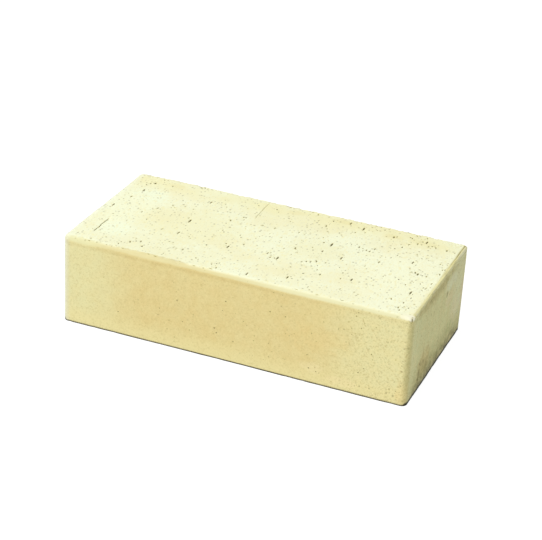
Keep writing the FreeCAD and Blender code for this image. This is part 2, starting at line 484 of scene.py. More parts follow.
def scatter_pits(face, sort, draw):
    placed = 0
    while placed < sort.count:
        long = draw.uniform(*sort.longs)
        wide = long * draw.uniform(*sort.slender)
        reach_u = face.span_u / 2 - sort.margin - long
        reach_v = face.span_v / 2 - sort.margin - long
        u = draw.uniform(-reach_u, reach_u)
        v = draw.uniform(-reach_v, reach_v)
        if draw.random() < sort.huddle:
            mate = draw.choice([mark for mark in face.marks if isinstance(mark, Mark)])
            u = mate.u + draw.choice((-1, 1)) * draw.uniform(0.9, 3.0)
            v = mate.v + draw.gauss(0, 1.6)
        turn = WIRE_WAY + draw.gauss(0, sort.lean)
        pit = Mark(
            u, v, long, wide, draw.uniform(*sort.deeps), draw.uniform(*sort.darks), turn,
            tail=draw.random(), seed=draw.randrange(SEEDS),
        )
        refused = sort.crowd * (0.5 - u / face.span_u) + sort.rise * (0.5 - v / face.span_v)
        if abs(u) > reach_u or abs(v) > reach_v or draw.random() < refused:
            continue
        placed += add_mark(face, pit)


# ---------------- grains, placed where the CAD has them


WEDGE_SPREAD = 1.56  # a wedge's width over the way from its middle to its farthest flush corner


@dataclass
class Grain:
    """A grain in the face of that name, its middle in the face's two ways, and its width."""

    face: str
    u: float
    v: float
    across: float
    seed: int


def cad_grains(node, faces):
    """One Grain for each separate solid of a CAD node, from the corners it has in a brick face."""
    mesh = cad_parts[node].data
    spots = [tuple(round(c / MM, 3) for c in vertex.co) for vertex in mesh.vertices]
    parent = {spot: spot for spot in spots}

    def root(spot):
        while parent[spot] != spot:
            spot = parent[spot]
        return spot

    for polygon in mesh.polygons:
        first = root(spots[polygon.vertices[0]])
        for index in polygon.vertices[1:]:
            parent[root(spots[index])] = first
    solids = {}
    for spot in parent:
        solids.setdefault(root(spot), []).append(np.array(spot))
    grains = []
    for number, key in enumerate(sorted(solids)):
        corners = solids[key]
        name, flush = max(
            ((n, [c for c in corners if abs((c - f.middle) @ np.cross(f.u_way, f.v_way)) < 0.01])
             for n, f in faces.items()),
            key=lambda pair: len(pair[1]),
        )
        middle = np.mean(flush, axis=0)
        across = max(np.linalg.norm(c - middle) for c in flush) * WEDGE_SPREAD
        grains.append(Grain(name, *faces[name].flat(middle), across, number))
    return grains


GROG_FURROW_RUN = 3.6  # the drag furrow's length for a grain of the usual size
GROG_USUAL_ACROSS = 1.5


def mark_grains(faces, grog, spots):
    """Sockets round the grains, and the furrow that each coarse grain ploughed under the wire."""
    for grain in grog:
        face = faces[grain.face]
        run = GROG_FURROW_RUN * grain.across / GROG_USUAL_ACROSS
        back = 1.0 if grain.face == "lower" else -1.0
        half_wide = grain.across * 0.45
        long = run / 2 + half_wide
        centre = grain.v + back * (long - half_wide)
        turn = back * WIRE_WAY
        face.marks.append(Mark(
            grain.u, centre, long, half_wide, deep=0.75, dark=1.0, turn=turn, tail=0.7, seed=grain.seed,
        ))
    for grain in spots:
        long, half_wide = grain.across * 0.6, grain.across * 0.5
        dark = 0.9 if grain.face in ("upper", "lower") else 0.2
        faces[grain.face].marks.append(Mark(
            grain.u, grain.v, long, half_wide, deep=0.7, dark=dark, seed=grain.seed + 500,
        ))


def add_stone(stones, grain, faces, subdivisions, deep_share, sink):
    """An angular grain: a faceted lump, sheared off `sink` below the brick's face."""
    face = faces[grain.face]
    outward = np.cross(face.u_way, face.v_way)
    half = grain.across / 2
    centre = face.middle + grain.u * face.u_way + grain.v * face.v_way
    lump = bmesh.ops.create_icosphere(stones, subdivisions=subdivisions, radius=1.0)
    for vertex in lump["verts"]:
        way = vertex.co.normalized()
        facet = noise.cell_vector(way * 1.3 + Vector((grain.seed * 3.1, 0, 0))).length * 0.12
        rough = 0.16 * noise.noise(way * 2.2 + Vector((0, grain.seed * 1.7, 0)))
        size = 0.9 + rough - facet
        height = min(way.z * size * half * deep_share, -sink + 0.05 * noise.noise(way * 5))
        place = centre + (
            face.u_way * way.x * size * half + face.v_way * way.y * size * half * 0.85 + outward * height
        )
        vertex.co = Vector(place * MM)


def make_grains(name, grains, faces, subdivisions, deep_share, sink, material, node):
    """One piece of all the grains of a kind, in place of the CAD node that holds them."""
    joined = bmesh.new()
    for grain in grains:
        add_stone(joined, grain, faces, subdivisions, deep_share, sink)
    bmesh.ops.recalc_face_normals(joined, faces=joined.faces)
    mesh = bpy.data.meshes.new(name)
    joined.to_mesh(mesh)
    joined.free()
    mesh.materials.append(material)
    stones = put(name, mesh)
    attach(stones, "root")
    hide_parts(node)


# ---------------- the brick's mesh

EDGE_STEP = 1.5
EDGE_ROWS = (0.3, 0.6, 0.95, 1.3, 1.7, 2.1, 2.55, 3.05, 3.6, 4.3, 5.2, 6.4)  # inwards from a face's edge
FIELD_STEP = 2.8
FIELD_INSET = EDGE_ROWS[-1] + 1.6


def spaced(half, step):
    """Evenly spaced values from -half to half, no more than a step apart."""
    return np.linspace(-half, half, 2 * math.ceil(half / step) + 1)


def ring_points(half_u, half_v, step):
    """Evenly spaced points round a rectangle, each corner once."""
    us, vs = spaced(half_u, step), spaced(half_v, step)
    inner = vs[1:-1]
    sides = [np.column_stack([us, np.full_like(us, v)]) for v in (-half_v, half_v)]
    sides += [np.column_stack([np.full_like(inner, u), inner]) for u in (-half_u, half_u)]
    return np.concatenate(sides)


def field_points(half_u, half_v, step):
    """Points in rows of equal triangles that fill a rectangle."""
    rows = int(2 * half_v / (step * math.sqrt(3) / 2))
    points = []
    for number, v in enumerate(np.linspace(-half_v, half_v, rows + 1)):
        shift = step / 2 if number % 2 else 0.0
        us = np.arange(-half_u + shift, half_u + 1e-6, step)
        points.append(np.column_stack([us, np.full_like(us, v)]))
    return np.concatenate(points)


def mesh_face(face):
    """Triangulates a face: fine rows by its edges, an open field, and rings round every mark."""
    half_u, half_v = face.span_u / 2, face.span_v / 2
    border = ring_points(half_u, half_v, EDGE_STEP)
    plain = [ring_points(half_u - row, half_v - row, EDGE_STEP) for row in EDGE_ROWS]
    plain.append(field_points(half_u - FIELD_INSET, half_v - FIELD_INSET, FIELD_STEP))
    plain = np.concatenate(plain)
    keep = np.ones(len(plain), bool)
    for mark in face.marks:
        keep &= ~mark.covers(plain)
    plain = plain[keep]
    unmarked = np.zeros(len(border) + len(plain))
    uv, dent, dark = [border, plain], [unmarked], [unmarked]
    for mark in face.marks:
        mark_uv, mark_dent, mark_dark = mark.points()
        uv.append(mark_uv)
        dent.append(mark_dent)
        dark.append(mark_dark)
    uv, dent, dark = (np.concatenate(a) for a in (uv, dent, dark))
    made = delaunay_2d_cdt([Vector(p) for p in uv], [], [], 0, 1e-7, True)
    source = [origins[0] for origins in made[3]]
    uv, dent, dark = uv[source], dent[source], dark[source]
    return face.lift(uv), dent, dark, np.array([list(t) for t in made[2]])


@dataclass
class Chip:
    """A small break: a shallow bowl round a point of an arris. `fresh` shows pale clay, `dark` darkens it.
    """

    place: tuple
    reach: float
    deep: float
    fresh: float = 0.0
    dark: float = 0.0


def corner_chips():
    """The broken upper corner at the front right: a pale scuff along the arris and a dark nick."""
    right, front, top = HALF_LENGTH, 1.0 - HALF_WIDTH, HEIGHT - 0.5
    return [
        Chip((right - 2.2, front + 1.4, top), 3.2, 0.6, fresh=1.0),
        Chip((right - 5.0, front + 1.0, top), 2.8, 0.4, fresh=0.8),
        Chip((right - 7.6, front + 0.8, top), 2.4, 0.25, fresh=0.6),
        Chip((right - 1.9, front + 1.7, top), 1.0, 0.9, dark=1.0),
        Chip((right - 1.5, front + 0.9, top - 0.7), 0.9, 0.9, dark=1.0),
        Chip((right - 1.2, front + 0.3, top - 1.5), 0.9, 0.8, dark=0.9),
        Chip((right - 1.2, front + 0.1, top - 2.6), 0.9, 0.4, dark=0.6),
    ]


BACK_NIBBLES = 90
FOOT_NIBBLES = 12
HEADER_NIBBLES = 20


def edge_chips(draw):
    """Nibbles along the arrises, most of them on the ragged upper back edge."""
    chips = corner_chips()
    reach_x, reach_y = HALF_LENGTH - 3, HALF_WIDTH - 3
    for _ in range(BACK_NIBBLES):
        place = (draw.uniform(-reach_x, reach_x), HALF_WIDTH - 0.4, HEIGHT - 0.4)
        dark = draw.choice((0, 0, 0.6))
        chips.append(Chip(place, draw.uniform(0.8, 2.4), draw.uniform(0.15, 0.55), dark=dark))
    for _ in range(FOOT_NIBBLES):
        x = draw.uniform(-reach_x, reach_x)
        y = draw.choice((-1, 1)) * (HALF_WIDTH - 0.3)
        chips.append(Chip((x, y, 0.3), draw.uniform(0.7, 1.3), draw.uniform(0.08, 0.22)))
    for _ in range(HEADER_NIBBLES):
        y = draw.uniform(-reach_y, reach_y)
        x = draw.choice((-1, 1)) * (HALF_LENGTH - 0.4)
        z = draw.choice((0.3, HEIGHT - 0.5))
        chips.append(Chip((x, y, z), draw.uniform(0.7, 1.6), draw.uniform(0.08, 0.28), fresh=0.3))
    return chips


def break_edges(p, chips):
    """How deep each point lies in a chip, and how fresh or dark the clay is there."""
    depth, fresh, dark = np.zeros(len(p)), np.zeros(len(p)), np.zeros(len(p))
    for chip in chips:
        away = np.linalg.norm(p - np.array(chip.place), axis=1) / chip.reach
        bowl = np.maximum(1 - away**2, 0) ** 1.5
        depth = np.maximum(depth, chip.deep * bowl)
        fresh = np.maximum(fresh, chip.fresh * fade(bowl, 0.0, 0.35))
        dark = np.maximum(dark, chip.dark * fade(bowl, 0.1, 0.6))
    return depth, fresh * (1 - dark), dark


def mesh_box(faces):
    """The six faces as one closed mesh, whose points are shared along the faces' common edges."""
    places, dents, darks, triangles = zip(*(mesh_face(face) for face in faces.values()))
    starts = np.cumsum([0] + [len(p) for p in places])
    triangles = np.concatenate([made + start for made, start in zip(triangles, starts)])
    p, dent, dark = np.concatenate(places), np.concatenate(dents), np.concatenate(darks)
    _, first, inverse = np.unique(np.round(p, 4), axis=0, return_index=True, return_inverse=True)
    return p[first], dent[first], dark[first], inverse.reshape(-1)[triangles]


def clay_masks(form, normal):
    """Where the clay is bed, rolled arris, vertical arris, and the painted contact shadow along the foot,
    each 0 to 1.
    """
    level = np.abs(normal[:, 2])
    # the burr's bead keeps the header's tones
    inboard = np.where(form[:, 2] > HEIGHT / 2, HALF_LENGTH - form[:, 0], HALF_LENGTH)
    on_header = fade(np.abs(normal[:, 0]), 0.4, 0.9)
    # painted contact shadow: a dark band up the lower arrises, taller on the headers, left off the
    # underside
    foot = fade(form[:, 2], 1.6 + 1.6 * on_header, 0.9 + 1.3 * on_header)
    return {
        "bed": np.clip((level - 0.62) / 0.38, 0, 1) ** 2 * fade(inboard, 1.3, 2.3),
        "rolled": fade(level, 0.05, 0.45) * fade(inboard, 1.3, 3.0),
        "corner": 2 * np.abs(normal[:, 0] * normal[:, 1]) * fade(form[:, 0], 0.0, 100.0),
        "foot": foot * (1 - fade(-normal[:, 2], 0.93, 1.0)),
    }


def make_brick(faces, chips, material):
    """The brick's piece, with the attributes that its material reads."""
    p, dent, dark, triangles = mesh_box(faces)
    form, normal = round_over(p)
    chipped, fresh, nicked = break_edges(form, chips)
    groove = lip_groove(form, normal)
    masks = clay_masks(form, normal)
    form = form + normal * (relief(form, normal) - dent - chipped)[:, None]
    form[:, 2] = np.maximum(form[:, 2], 0.0)
    # painted shade in the groove inside the burr, stronger towards the back
    groove_shade = 1.15 * groove * fade(form[:, 1], 5.0, 38.0)
    # painted shade with some dirt in the marks and nicks, and painted shade in the burr's groove
    masks["hollow"] = np.maximum(np.maximum(dark, nicked), groove_shade)
    masks["fresh"] = fresh
    mesh = bpy.data.meshes.new("brick")
    mesh.from_pydata((form * MM).tolist(), [], triangles.tolist())
    for name, values in masks.items():
        attribute = mesh.attributes.new(name, "FLOAT", "POINT")
        attribute.data.foreach_set("value", values.astype(np.float32))
    mesh.polygons.foreach_set("use_smooth", np.ones(len(triangles), bool))
    mesh.materials.append(material)
    mesh.validate()
    mesh.update()
    brick = put("fired_clay_brick", mesh)
    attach(brick, "root")
    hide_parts("brick_body")


# ---------------- materials


def srgb(red, green, blue):
    """A display colour, 0 to 255, as the linear value that a shader takes."""
    def line(value):
        value /= 255
        return value / 12.92 if value <= 0.04045 else ((value + 0.055) / 1.055) ** 2.4
    return (line(red), line(green), line(blue), 1.0)


class Nodes:
    """Short calls for building a material's node tree."""

    def __init__(self, name):
        self.material = bpy.data.materials.new(name)
        self.material.use_nodes = True
        self.tree = self.material.node_tree
        self.shader = self.tree.nodes["Principled BSDF"]
        self.place = self.add("ShaderNodeTexCoord").outputs["Object"]
        split = self.add("ShaderNodeSeparateXYZ")
        self.feed(split.inputs[0], self.place)
        self.x, self.y, self.z = (self.maths("DIVIDE", way, MM) for way in split.outputs)
        # millimetres inwards from the brick's faces
        self.in_right = self.maths("SUBTRACT", HALF_LENGTH, self.x)
        self.in_left = self.maths("ADD", HALF_LENGTH, self.x)
        self.in_front = self.maths("ADD", HALF_WIDTH, self.y)
        self.in_back = self.maths("SUBTRACT", HALF_WIDTH, self.y)
        self.in_top = self.maths("SUBTRACT", HEIGHT, self.z)

    def add(self, kind, **settings):
        node = self.tree.nodes.new(kind)
        for key, value in settings.items():
            setattr(node, key, value)
        return node

    def feed(self, socket, value):
        if isinstance(value, bpy.types.NodeSocket):
            self.tree.links.new(value, socket)
        else:
            socket.default_value = value

    def fill(self, node, inputs):
        for name, value in inputs.items():
            self.feed(node.inputs[name], value)

    def attribute(self, name):
        return self.add("ShaderNodeAttribute", attribute_name=name).outputs["Fac"]

    def maths(self, operation, a, b=0.0, clamp=False):
        node = self.add("ShaderNodeMath", operation=operation, use_clamp=clamp)
        self.feed(node.inputs[0], a)
        self.feed(node.inputs[1], b)
        return node.outputs[0]

    def times(self, product, *others):
        for other in others:
            product = self.maths("MULTIPLY", product, other)
        return product

    def most(self, greatest, *others):
        for other in others:
            greatest = self.maths("MAXIMUM", greatest, other)
        return greatest

    def ramp(self, value, start, end, low=0.0, high=1.0):
        """`low` before start, `high` after end, smooth between."""
        node = self.add("ShaderNodeMapRange", interpolation_type="SMOOTHSTEP")
        limits = {"From Min": start, "From Max": end, "To Min": low, "To Max": high}
        self.fill(node, {"Value": value, **limits})
        return node.outputs["Result"]

    def noise(self, size_mm, stretch=(1, 1, 1), detail=4, roughness=0.5, shift=0.0):
        """Noise with features about size_mm wide, longer along an axis whose stretch is over 1."""
        node = self.textured("ShaderNodeTexNoise", size_mm, stretch, (shift, shift * 0.7, shift * 1.3))
        self.fill(node, {"Detail": detail, "Roughness": roughness})
        return node.outputs["Fac"]

    def cells(self, size_mm, shift=0.0):
        """Cells about size_mm wide; the node gives the distance to a cell's point, and its colour."""
        return self.textured("ShaderNodeTexVoronoi", size_mm, (1, 1, 1), (shift, shift * 0.6, shift * 1.7))

    def textured(self, kind, size_mm, stretch, location):
        mapping = self.add("ShaderNodeMapping")
        scale = tuple(1 / (size_mm * MM * way) for way in stretch)
        self.fill(mapping, {"Vector": self.place, "Location": location, "Scale": scale})
        node = self.add(kind)
        self.fill(node, {"Vector": mapping.outputs["Vector"], "Scale": 1.0})
        return node

    def blend(self, share, a, b):
        node = self.add("ShaderNodeMix", data_type="RGBA")
        self.fill(node, {"Factor": share, "A": a, "B": b})
        return node.outputs["Result"]

    def over(self, colour, tone, *shares):
        """The colour under a film of the tone, as dense as the product of the shares."""
        return self.blend(self.times(*shares), colour, tone)


# the clay's tones, and the tones of painted shade and light, as marked below
SKIN_PEACH = srgb(200, 181, 123)
SKIN_GREEN = srgb(204, 198, 148)
SKIN_PALE = srgb(208, 197, 142)
SKIN_SHADE = srgb(166, 144, 88)
SKIN_LIGHT = srgb(224, 208, 156)
# painted shade of the tuck under the rolled arris
TUCK_SHADE = srgb(188, 165, 102)
HEADER_SKIN = srgb(194, 193, 137)
# painted shade over the header's foot
HEADER_FOOT_SHADE = srgb(112, 110, 38)
CORNER_TAN = srgb(180, 173, 117)
CORNER_PEACH = srgb(196, 181, 122)
ARRIS_CREAM = srgb(197, 187, 140)
ARRIS_PALE = srgb(201, 197, 157)
ARRIS_DULL = srgb(198, 194, 150)
# the beds' pale tones: partly the cut clay's own, partly painted light for the washed-out brightness of
# the lit upper bed
BED_CREAM = srgb(223, 220, 184)
BED_WHITE = srgb(225, 227, 199)
BED_YELLOW = srgb(223, 217, 168)
BED_SHADE = srgb(190, 178, 122)
SPECK = srgb(122, 110, 62)
LIP_OLIVE = srgb(150, 138, 84)
# painted greyish shade at the left end: this one on the front arris, the next one on the bed
LEFT_END_SHADE = srgb(195, 197, 180)
PALE_RIM = srgb(226, 229, 208)
LIP_CREAM = srgb(213, 207, 156)
HALO = srgb(190, 178, 108)
# painted shade with some dirt, inside pits, sockets, cracks and nicks
HOLLOW = srgb(52, 49, 12)
# painted contact shadow along the foot, and the darkest painted shade over the header's foot
FOOT_SHADE = srgb(38, 35, 5)
FRESH = srgb(222, 219, 196)


# stains: middle and half sizes in a face's two ways, display colour, and how far it covers
FRONT_STAINS = (  # along x and z
    (59, 12, 9, 5, (219, 206, 160), 0.35),  # pale blooms
    (79, 7, 13, 4, (218, 200, 154), 0.3),
    (60, 34, 26, 11, (204, 180, 118), 0.35),  # warmer drifts
    (121, 9, 4, 10, (212, 186, 124), 0.4),
)
HEADER_STAINS = (  # along y and z
    (-8, 61, 48, 4.4, (161, 153, 91), 0.9),  # painted shade under the wire's burr, over the hollow below it
    (-4, 57.5, 30, 3.8, (174, 167, 110), 0.6),
    (44, 42, 18, 34, (199, 202, 160), 0.7),  # paler towards the back arris
    (25, 53, 15, 6, (206, 211, 176), 0.7),  # pale bloom
    (-52, 30, 9, 38, (202, 200, 146), 0.6),  # paler by the front arris
    (58.5, 28, 2.6, 36, (160, 154, 118), 0.7),  # darker back arris
    (16, 47.5, 2.4, 3.2, (104, 94, 50), 0.9),  # smudge
    (24, 41, 11, 7, (206, 191, 150), 0.5),  # rosy drifts
    (38, 25, 11, 10, (206, 193, 152), 0.4),
    (53, 30, 4, 14, (196, 180, 150), 0.45),
    (29, 17, 7, 6, (176, 190, 128), 0.5),  # greener drifts
    (-46, 46, 8, 14, (190, 197, 146), 0.4),
    (-27, 17, 15, 12, (178, 160, 96), 0.75),  # brown kiln stain
    (-36.5, 12, 2.4, 5, (108, 92, 34), 0.7),
    (-30, 18.5, 5, 2, (118, 101, 44), 0.65),
    (-23, 14, 6, 2.4, (134, 116, 58), 0.4),
    (-29.5, 28, 1.3, 8, (158, 146, 94), 0.5),
    (-37.5, 8, 2.2, 2.4, (98, 82, 26), 0.8),
    (-35.5, 20.5, 1.6, 1.8, (108, 92, 38), 0.7),
    (-28, 11, 4, 1.8, (196, 174, 106), 0.6),  # warm scuffs in it
    (-20, 7.5, 5, 1.6, (188, 158, 96), 0.5),
)

FOOT_STAINS = (  # blotches, darker and paler, over the painted shade of the header's foot
    (-20, 3.5, 7, 2.6, (80, 74, 26), 0.5),
    (14, 4, 9, 2.2, (166, 162, 108), 0.4),
    (35, 3.5, 7, 2.2, (178, 172, 112), 0.5),
    (35, 8.5, 7, 2.2, (96, 92, 36), 0.45),
)

BED_STAINS = (  # along x and y
    (-58, -4, 46, 34, (221, 217, 175), 0.55),
    (-66, -46, 60, 18, (219, 215, 176), 0.35),
    (-60, -58.5, 30, 2.4, (200, 189, 138), 0.8),  # skin dragged over the front arris
    (-108, 12, 20, 56, (226, 229, 200), 0.7),
    (-110, -59, 18, 3.0, (206, 203, 160), 0.7),
    (-46, -58.2, 15, 2.0, (193, 184, 143), 0.55),
    (-100, 28, 15, 11, (224, 231, 206), 0.6),
    (-99, -33, 14, 12, (224, 231, 206), 0.6),
    (36, 2, 24, 16, (220, 216, 174), 0.45),
    (14, 46, 26, 12, (224, 222, 188), 0.6),
    (1, 51, 8, 4, (214, 203, 148), 0.4),  # sandy drifts along the back
    (36, 53, 10, 3.5, (211, 199, 142), 0.55),
    (74, 47, 8, 4, (211, 199, 142), 0.5),
    (97, 48, 12, 4.5, (213, 202, 146), 0.5),
    (-92, 51, 8, 3.5, (216, 206, 152), 0.4),
    (100, -8, 34, 52, (228, 230, 202), 0.75),
    (123.4, 13, 2.0, 16, (204, 199, 150), 0.6),  # worn skin beside the burr
)


def stained(n, colour, stains, u_mm, v_mm, here):
    """Lays stains over a colour where `here` is 1, their outlines broken up by noise."""
    broken = n.maths("SUBTRACT", n.noise(5, roughness=0.65, shift=6.2), 0.5)
    broken = n.times(broken, 2.6)
    for u, v, half_u, half_v, tone, share in stains:
        across = n.maths("DIVIDE", n.maths("SUBTRACT", u_mm, u), half_u)
        up = n.maths("DIVIDE", n.maths("SUBTRACT", v_mm, v), half_v)
        away = n.maths("ADD", n.times(across, across), n.times(up, up))
        patch = n.ramp(n.maths("ADD", away, broken), 1.25, 0.1, 0, share)
        colour = n.over(colour, srgb(*tone), patch, here)
    return colour


def stretcher_colour(n, end_right):
    """Die skin: peachy tan in the middle of a stretcher, greener and paler towards the ends."""
    ends = n.most(n.ramp(n.in_left, 63, 13), end_right)
    patch = n.ramp(n.noise(45, detail=3, shift=3.1), 0.35, 0.65, 0, 0.12)
    greener = n.maths("ADD", n.times(ends, 0.8), patch, clamp=True)
    drift = n.ramp(n.noise(9, detail=3, shift=6.6), 0.4, 0.62, 0, 0.14)
    greener = n.maths("ADD", greener, drift, clamp=True)
    skin = n.blend(greener, SKIN_PEACH, SKIN_GREEN)
    # painted light: paler along the bottom 4 to 18 mm, for light bounced up from the floor
    skin = n.blend(n.ramp(n.z, 18, 4, 0, 0.75), skin, SKIN_PALE)
    skin = stained(n, skin, FRONT_STAINS, n.x, n.z, n.ramp(n.in_front, 10, 4))
    # painted shade: a darker tan line in the tuck below the rolled arris, faint at the right and at the
    # left end
    faint = n.times(n.ramp(n.x, 60, -20, 0.1, 0.28), n.ramp(n.in_left, 13, 33, 0.6, 1))
    return n.over(skin, TUCK_SHADE, n.ramp(n.in_top, 6.4, 4.6), faint)


def header_colour(n, skin):
    """A header's skin over the stretcher's: streaks of the die, stains, and painted shade over its foot.
    """
    right = n.ramp(n.in_right, 2.4, 0.1)
    header = n.most(right, n.ramp(n.in_left, 2.4, 0.1))
    # the headers' greener tone: partly the skin's own, partly painted cool shade
    skin = n.blend(header, skin, HEADER_SKIN)
    skin = stained(n, skin, HEADER_STAINS, n.y, n.z, right)
    streak = n.noise(12, stretch=(1, 1, 7), roughness=0.6, shift=8.1)
    skin = n.over(skin, SKIN_SHADE, n.ramp(streak, 0.45, 0.68, 0, 0.14), header)
    # painted shade over the foot, full on the right header and weaker on the left, broken up by noise:
    # olive up to 27 mm high, near black in the lowest 11 mm
    low_shade = n.noise(13, stretch=(1, 1, 0.6), roughness=0.6, shift=2.7)
    between = n.times(n.ramp(n.in_front, 2, 24, 0.2, 1), n.ramp(n.in_back, 34, 2, 1, 0.6))
    shaded_headers = n.most(right, n.times(header, 0.4))
    low_shade = n.times(n.ramp(low_shade, 0.4, 0.62, 0.58, 0.85), between, shaded_headers)
    skin = n.over(skin, HEADER_FOOT_SHADE, n.ramp(n.z, 27, 3), low_shade)
    skin = n.over(skin, FOOT_SHADE, n.ramp(n.z, 11, 2, 0, 0.85), low_shade)
    return stained(n, skin, FOOT_STAINS, n.y, n.z, right)


def bed_colour(n):
    """Cut bed: cream, with greenish white drifts and a yellower strip along the back edge."""
    drift = n.ramp(n.noise(38, stretch=(1.3, 1, 1), detail=3, roughness=0.55, shift=7.7), 0.38, 0.62)
    torn = n.blend(drift, BED_CREAM, BED_WHITE)
    torn = stained(n, torn, BED_STAINS, n.x, n.y, 1.0)
    by_the_back = n.times(n.ramp(n.in_back, 28, 10, 0, 0.42), n.ramp(n.in_back, 7, 1, 1, 0.5))
    patchy = n.ramp(n.noise(20, detail=3, shift=1.6), 0.36, 0.6, 0.5, 1.3)
    by_an_edge = n.most(n.times(by_the_back, patchy), n.ramp(n.in_right, 4.5, 2.5, 0, 0.2))
    torn = n.blend(by_an_edge, torn, BED_YELLOW)
    crumb = n.noise(1.7, stretch=(1, 2.4, 1), roughness=0.7, shift=2.0)
    torn = n.blend(n.ramp(crumb, 0.5, 0.72, 0, 0.85), torn, BED_YELLOW)
    return n.blend(n.ramp(crumb, 0.38, 0.24, 0, 0.8), torn, BED_SHADE)


def lip_streaks(n, colour):
    """The burr on the right header's upper edge: a pale bead, with fine streaks along and below it."""
    by_the_edge = n.ramp(n.in_right, 2.9, 1.8)
    bead = n.blend(n.ramp(n.y, 32, 46), LIP_CREAM, BED_CREAM)
    colour = n.over(colour, bead, by_the_edge, n.ramp(n.in_top, 1.8, 0.8, 0, 0.75))
    here = n.times(by_the_edge, n.ramp(n.in_top, 9, 4))
    streak = n.noise(0.8, stretch=(1, 11, 1), detail=3, roughness=0.6, shift=3.3)
    colour = n.over(colour, LIP_CREAM, n.ramp(streak, 0.52, 0.66, 0, 0.5), here)
    here = n.times(here, n.ramp(n.in_top, 2.4, 0.8, 1, 0.45))
    return n.over(colour, LIP_OLIVE, n.ramp(streak, 0.48, 0.34, 0, 0.7), here)


def flecked(n, colour, bed, end_right):
    """Fine dark specks, thicker towards the right end."""
    flecks = n.cells(2.3, shift=0.4)
    chance = n.add("ShaderNodeSeparateColor")
    n.feed(chance.inputs["Color"], flecks.outputs["Color"])
    header = n.ramp(n.maths("ABSOLUTE", n.x), HALF_LENGTH - 4, HALF_LENGTH - 1)
    on_stretcher = n.maths("SUBTRACT", n.maths("SUBTRACT", 1.0, bed), header)
    crowd = n.ramp(n.noise(9, detail=3, shift=5.0), 0.42, 0.64)
    crowd = n.most(crowd, n.times(end_right, on_stretcher), n.times(bed, 0.8))
    size = n.times(n.maths("ADD", n.times(crowd, 0.17), 0.05), chance.outputs["Red"])
    dot = n.ramp(flecks.outputs["Distance"], size, n.times(size, 2.4), 1, 0)
    darkness = n.ramp(chance.outputs["Green"], 0, 1, 0.15, 0.55)
    plainness = n.ramp(n.most(bed, end_right), 0, 1, 0.5, 1)
    return n.over(colour, SPECK, dot, darkness, plainness)


def clay_colour(n, bed, mottle, grain):
    """The die skin of the sides, the torn clay of the beds, and all that lies over them."""
    end_right = n.ramp(n.in_right, 73, 23)
    skin = header_colour(n, stretcher_colour(n, end_right))
    tan = n.blend(n.ramp(n.z, 26, 8, 0, 0.8), CORNER_TAN, CORNER_PEACH)
    skin = n.over(skin, tan, n.attribute("corner"), 0.9)
    # a stretcher is smoothed by the die: its grain shows plainly only at the ends
    coarse = n.most(end_right, n.ramp(n.in_left, 3, 1), n.ramp(n.in_left, 45, 15, 0, 0.3))
    coarse = n.ramp(coarse, 0, 1, 0.58, 1)
    skin = n.over(skin, SKIN_PALE, n.ramp(mottle, 0.4, 0.66, 0, 0.42), coarse)
    skin = n.over(skin, SKIN_SHADE, n.ramp(grain, 0.5, 0.25, 0, 0.66), coarse)
    skin = n.over(skin, SKIN_LIGHT, n.ramp(grain, 0.5, 0.75, 0, 0.5), coarse)
    arris = n.blend(n.ramp(n.x, -20, 56), ARRIS_CREAM, ARRIS_PALE)
    arris = n.blend(n.ramp(n.in_left, 37, 15), arris, ARRIS_DULL)
    colour = n.blend(n.attribute("rolled"), skin, arris)
    colour = n.blend(bed, colour, bed_colour(n))
    # painted shade: a greyish tone over the bed and the front arris at the left end, dimming their lit
    # arrises
    by_the_left_end = n.most(bed, n.ramp(n.in_front, 5.5, 2.5))
    left_end_tone = n.blend(bed, LEFT_END_SHADE, PALE_RIM)
    colour = n.over(colour, left_end_tone, by_the_left_end, n.ramp(n.in_left, 6.5, 0.5, 0, 0.65))
    colour = flecked(n, lip_streaks(n, colour), bed, end_right)
    # painted shade, with some dirt, in pits, sockets, cracks, nicks and the burr's groove, pale broken
    # clay, and the painted contact shadow along the foot
    hollow = n.attribute("hollow")
    colour = n.blend(n.ramp(hollow, 0, 0.3, 0, 0.6), colour, HALO)
    colour = n.blend(n.ramp(hollow, 0.15, 1.0, 0, 0.95), colour, HOLLOW)
    colour = n.over(colour, FRESH, n.attribute("fresh"), 0.9)
    # painted contact shadow along the lower arrises
    return n.over(colour, FOOT_SHADE, n.attribute("foot"))


def add_bumps(n, height, distance_mm, strength):
    bumps = n.add("ShaderNodeBump")
    n.fill(bumps, {"Height": height, "Distance": distance_mm * MM, "Strength": strength})
    n.feed(n.shader.inputs["Normal"], bumps.outputs["Normal"])


def clay_material():
    """Fired clay: tan die skin on the sides, paler torn clay on the cut beds, darker hollows."""
    n = Nodes("fired_clay")
    bed = n.attribute("bed")
    mottle = n.noise(5, roughness=0.62, shift=1.0)
    grain = n.noise(1.1, detail=3, roughness=0.65)
    n.feed(n.shader.inputs["Base Color"], clay_colour(n, bed, mottle, grain))

    rough = n.ramp(mottle, 0.3, 0.7, 0.72, 0.84)
    rough = n.maths("ADD", rough, n.times(bed, 0.12), clamp=True)
    n.feed(n.shader.inputs["Roughness"], rough)
    n.shader.inputs["Specular IOR Level"].default_value = 0.35

    sand = n.noise(0.7, roughness=0.7, shift=9.0)
    dragged = n.noise(1.1, stretch=(1, 5, 1), roughness=0.65, shift=4.0)
    skin_height = n.maths("ADD", n.times(sand, 0.4), n.times(grain, 0.7))
    bed_height = n.maths("ADD", n.times(sand, 0.7), n.times(dragged, 1.4))
    height = n.add("ShaderNodeMix", data_type="FLOAT")
    n.fill(height, {"Factor": bed, "A": skin_height, "B": bed_height})
    add_bumps(n, height.outputs["Result"], 0.14, 0.9)
    return n.material


